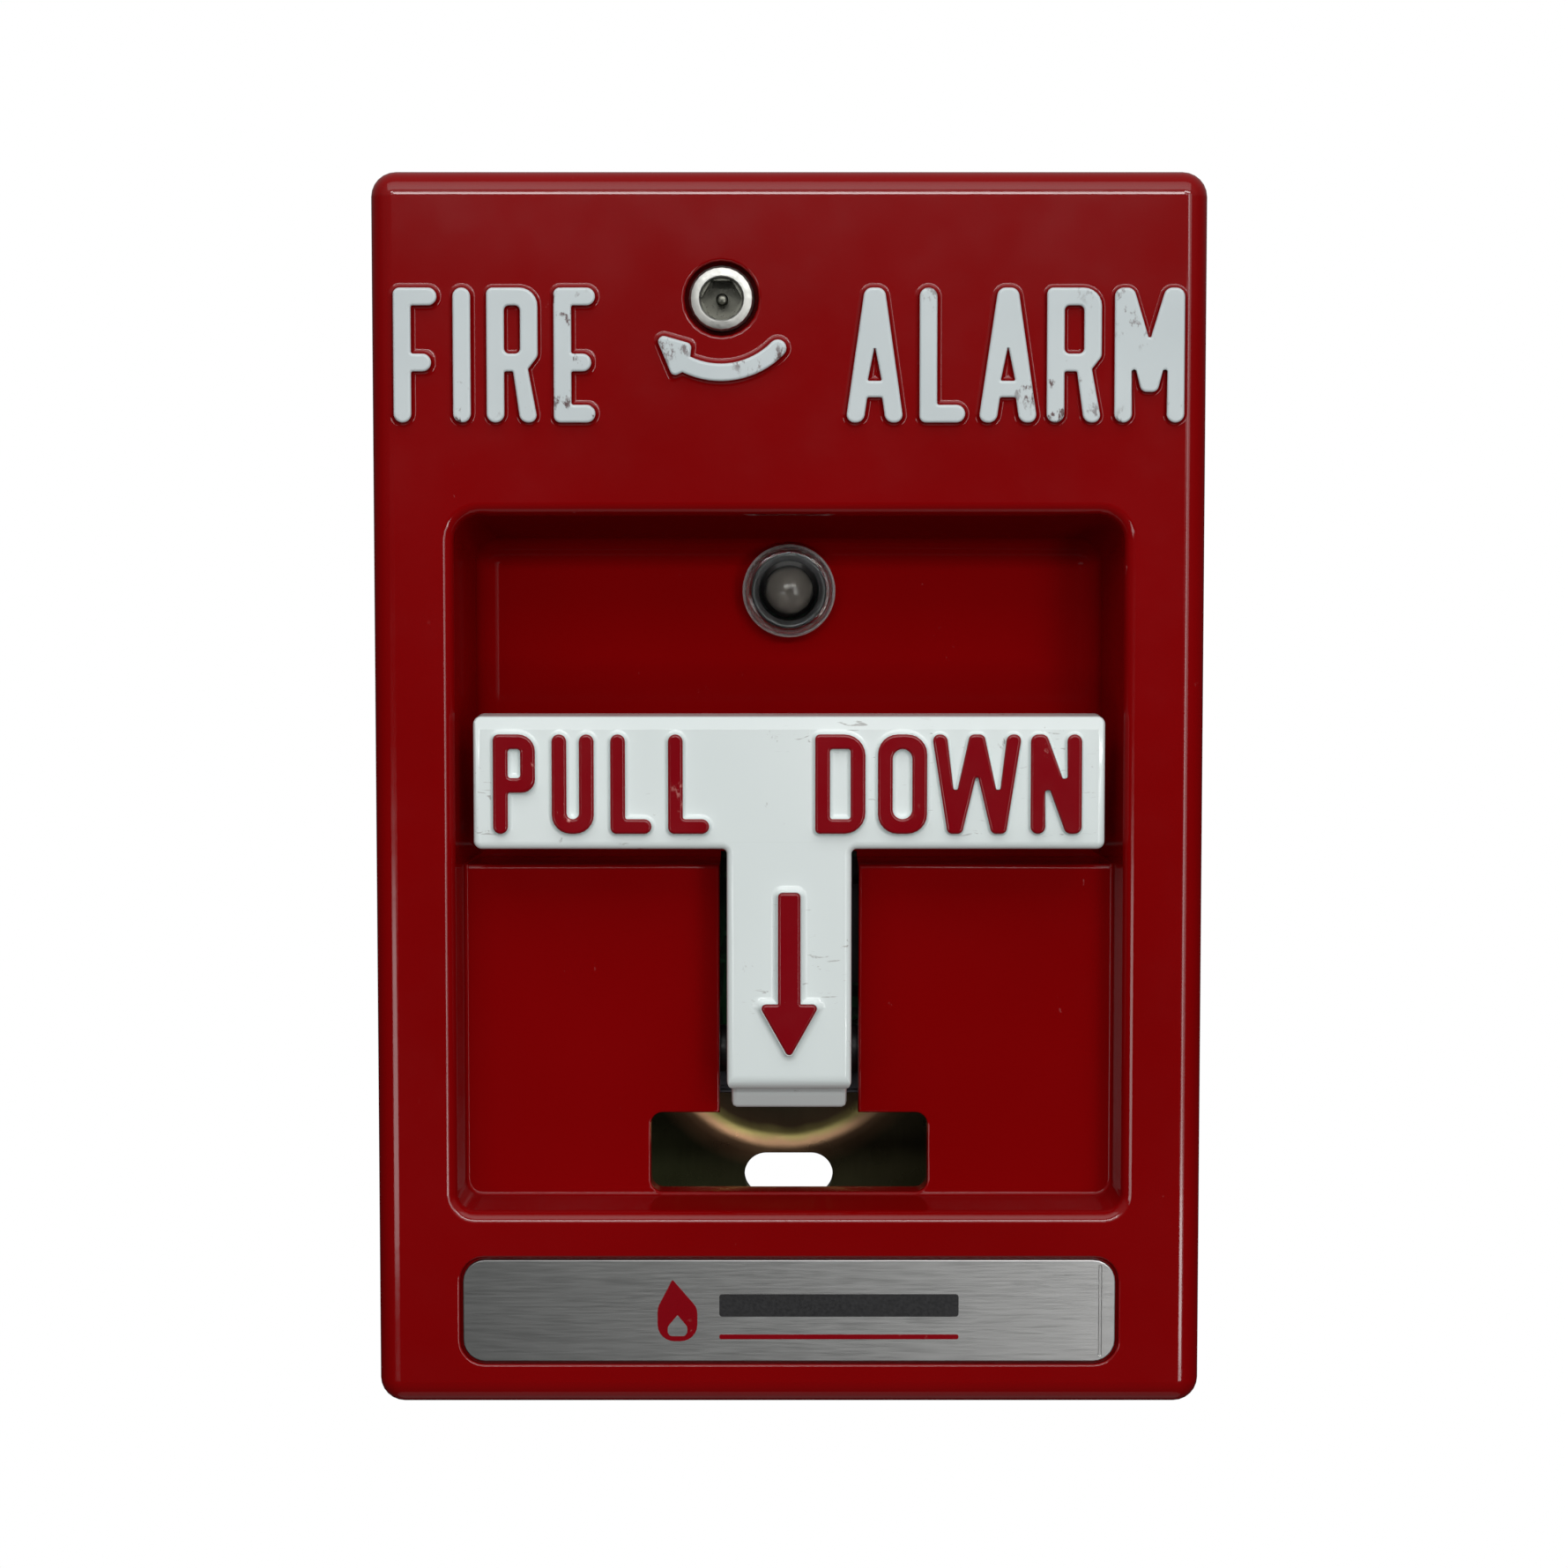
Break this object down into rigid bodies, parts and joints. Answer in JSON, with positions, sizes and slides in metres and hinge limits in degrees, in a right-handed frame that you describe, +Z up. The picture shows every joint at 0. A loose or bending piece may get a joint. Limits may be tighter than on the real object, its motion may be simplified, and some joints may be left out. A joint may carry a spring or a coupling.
{
  "type": "manual call point",
  "caption": "Flush wall-box manual fire alarm station: hinged die-cast cover with a pull-down T handle, key lock, status lamp and snap switch on a steel wall plate.",
  "frame": {"origin": "on the wall plane, behind the middle of the cover, on the back face of the wall plate", "axes": "+Z up the wall, +X to the right seen from the front, +Y into the wall; the front faces -Y"},
  "size_m": [0.0826, 0.0303, 0.123],
  "materials": {
    "red_enamel": "gloss",
    "white_enamel": "gloss",
    "yellow_zinc": "satin",
    "bright_zinc": "satin",
    "spring_steel": "satin",
    "black_oxide": "satin",
    "brushed_aluminium": "satin",
    "lock_nickel": "gloss",
    "clamp_brass": "satin",
    "board_green": "satin",
    "black_plastic": "satin",
    "terminal_plastic": "satin",
    "grey_plastic": "matte",
    "white_plastic": "satin",
    "red_plastic": "gloss",
    "tan_ceramic": "satin",
    "ground_green": "gloss",
    "clear_plastic": "gloss",
    "led_epoxy": "gloss"
  },
  "bodies": {
    "base": {"back_plate": "yellow_zinc", "board_standoffs": "bright_zinc", "circuit_board": "board_green", "board_screws": "bright_zinc", "terminal_block": "terminal_plastic", "terminal_screws": "bright_zinc", "terminal_clamps": "clamp_brass", "switch_body": "black_plastic", "switch_pins": "bright_zinc", "lever_pin": "bright_zinc", "status_led": "led_epoxy", "led_spacer": "black_plastic", "dial_bodies": "grey_plastic", "controller_chip": "black_plastic", "board_capacitors": "tan_ceramic", "ground_screw": "ground_green"},
    "cover": {"front_cover": "red_enamel", "name_plate": "brushed_aluminium", "status_lens": "clear_plastic", "lens_bezel": "black_plastic", "hinge_pins": "bright_zinc", "pivot_pin": "bright_zinc", "pivot_clips": "black_oxide", "detent_spring": "spring_steel", "detent_screws": "bright_zinc"},
    "lock": {"lock_barrel": "lock_nickel", "lock_clip": "black_oxide", "latch_cam": "bright_zinc", "cam_screw": "black_oxide"},
    "handle": {"pull_handle": "white_enamel", "pivot_washers": "black_plastic"},
    "switch_lever": {"switch_lever": "spring_steel"},
    "switch_plunger": {"switch_plunger": "red_plastic"},
    "tens_dial": {"tens_dial": "white_plastic"},
    "ones_dial": {"ones_dial": "white_plastic"}
  },
  "joints": [
    {"name": "cover_open", "type": "hinge", "parent": "base", "child": "cover", "pos_m": [0, -0.0036, -0.0582], "axis": [1, 0, 0], "range_deg": [0, 90]},
    {"name": "handle_pull", "type": "hinge", "parent": "cover", "child": "handle", "pos_m": [0, -0.017, -0.027], "axis": [1, 0, 0], "range_deg": [0, 45]},
    {"name": "lock_turn", "type": "hinge", "parent": "cover", "child": "lock", "pos_m": [-0.00665, -0.02, 0.049], "axis": [0, 1, 0], "range_deg": [-90, 0]},
    {"name": "switch_lever_turn", "type": "hinge", "parent": "base", "child": "switch_lever", "pos_m": [0.016, -0.00935, -0.0216], "axis": [0, 1, 0], "range_deg": [0, 18.5]},
    {"name": "switch_plunger_slide", "type": "slide", "parent": "base", "child": "switch_plunger", "axis": [0, 0, 1], "range_m": [0, 0.0011]},
    {"name": "tens_dial_turn", "type": "hinge", "parent": "base", "child": "tens_dial", "pos_m": [0.0185, -0.0085, -0.0275], "axis": [0, 1, 0], "continuous": true},
    {"name": "ones_dial_turn", "type": "hinge", "parent": "base", "child": "ones_dial", "pos_m": [0.0275, -0.0085, -0.0275], "axis": [0, 1, 0], "continuous": true}
  ],
  "couplings": [
    {"joint": "switch_lever_turn", "follows": "handle_pull", "ratio": 0.41},
    {"joint": "switch_plunger_slide", "follows": "handle_pull", "m_per_rad": 0.0014}
  ]
}
